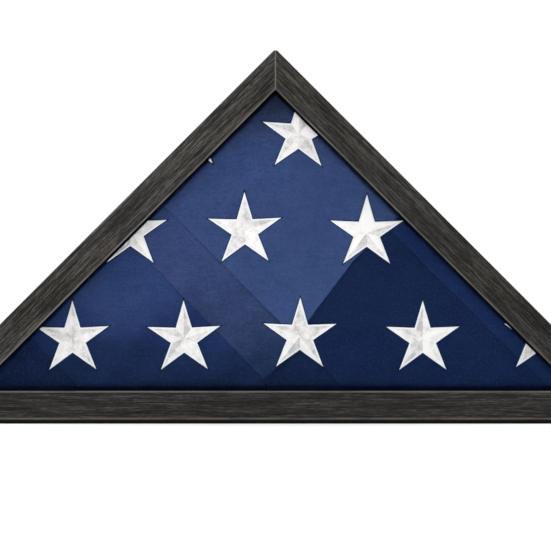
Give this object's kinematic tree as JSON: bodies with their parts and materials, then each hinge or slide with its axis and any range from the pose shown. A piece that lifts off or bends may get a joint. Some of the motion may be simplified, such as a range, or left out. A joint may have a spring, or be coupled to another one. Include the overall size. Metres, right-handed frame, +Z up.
{
  "type": "folded flag display case",
  "caption": "Triangular wooden shadow-box case with a glazed face frame, holding a folded flag; rear panel hinges down.",
  "frame": {"origin": "bottom centre of the bounding box, on the felt face that the case stands on", "axes": "+X to the right seen from the front, +Y to the rear towards the hinged panel, +Z up to the apex; the glass faces -Y"},
  "size_m": [0.655, 0.095, 0.3293],
  "materials": {
    "charcoal_wood": "brushed matt stain, grain showing",
    "bead_wood": "matt stain",
    "block_wood": "bare, sanded",
    "clear_glass": "clear, polished",
    "flag_cotton": "woven, matt",
    "black_felt": "felted",
    "bumper_rubber": "matt",
    "panel_board": "black painted hardboard, matt",
    "black_webbing": "woven",
    "steel_zinc": "bright zinc plated",
    "magnet_nickel": "nickel plated",
    "brass_plate": "lacquered, satin"
  },
  "bodies": {
    "case": {"face_rail_left": "charcoal_wood", "face_rail_right": "charcoal_wood", "face_rail_base": "charcoal_wood", "side_board_left": "charcoal_wood", "side_board_right": "charcoal_wood", "base_board": "charcoal_wood", "glass_pane": "clear_glass", "glass_bead_left": "bead_wood", "glass_bead_right": "bead_wood", "glass_bead_base": "bead_wood", "mitre_vnails": "steel_zinc", "face_brads": "steel_zinc", "bead_pins": "steel_zinc", "base_screws": "steel_zinc", "apex_nails": "steel_zinc", "catch_block": "block_wood", "catch_magnet": "magnet_nickel", "folded_flag": "flag_cotton", "base_felt": "black_felt", "wall_bumpers": "bumper_rubber", "hanger_strap_left": "steel_zinc", "hanger_strap_right": "steel_zinc", "hanger_screws": "steel_zinc", "hinge_case_leaf_left": "brass_plate", "hinge_case_leaf_right": "brass_plate", "hinge_pin_left": "brass_plate", "hinge_pin_right": "brass_plate", "hinge_case_screws_left": "brass_plate", "hinge_case_screws_right": "brass_plate"},
    "back_door": {"back_panel": "panel_board", "strike_plate": "steel_zinc", "strike_screw": "steel_zinc", "pull_tab": "black_webbing", "pull_tab_rivet": "brass_plate", "hinge_door_leaf_left": "brass_plate", "hinge_door_leaf_right": "brass_plate", "hinge_door_screws_left": "brass_plate", "hinge_door_screws_right": "brass_plate"},
    "hanger_ring_left": {"hanger_ring_left": "steel_zinc"},
    "hanger_ring_right": {"hanger_ring_right": "steel_zinc"}
  },
  "joints": [
    {"name": "back_door_hinge", "type": "hinge", "parent": "case", "child": "back_door", "pos_m": [0, 0.045, 0.0156], "axis": [-1, 0, 0], "range_deg": [0, 90]},
    {"name": "hanger_ring_left_turn", "type": "hinge", "parent": "case", "child": "hanger_ring_left", "pos_m": [-0.10129, 0.0443, 0.21996], "axis": [0.7071, 0, -0.7071], "range_deg": [0, 180]},
    {"name": "hanger_ring_right_turn", "type": "hinge", "parent": "case", "child": "hanger_ring_right", "pos_m": [0.10129, 0.0443, 0.21996], "axis": [0.7071, 0, 0.7071], "range_deg": [0, 180]}
  ]
}
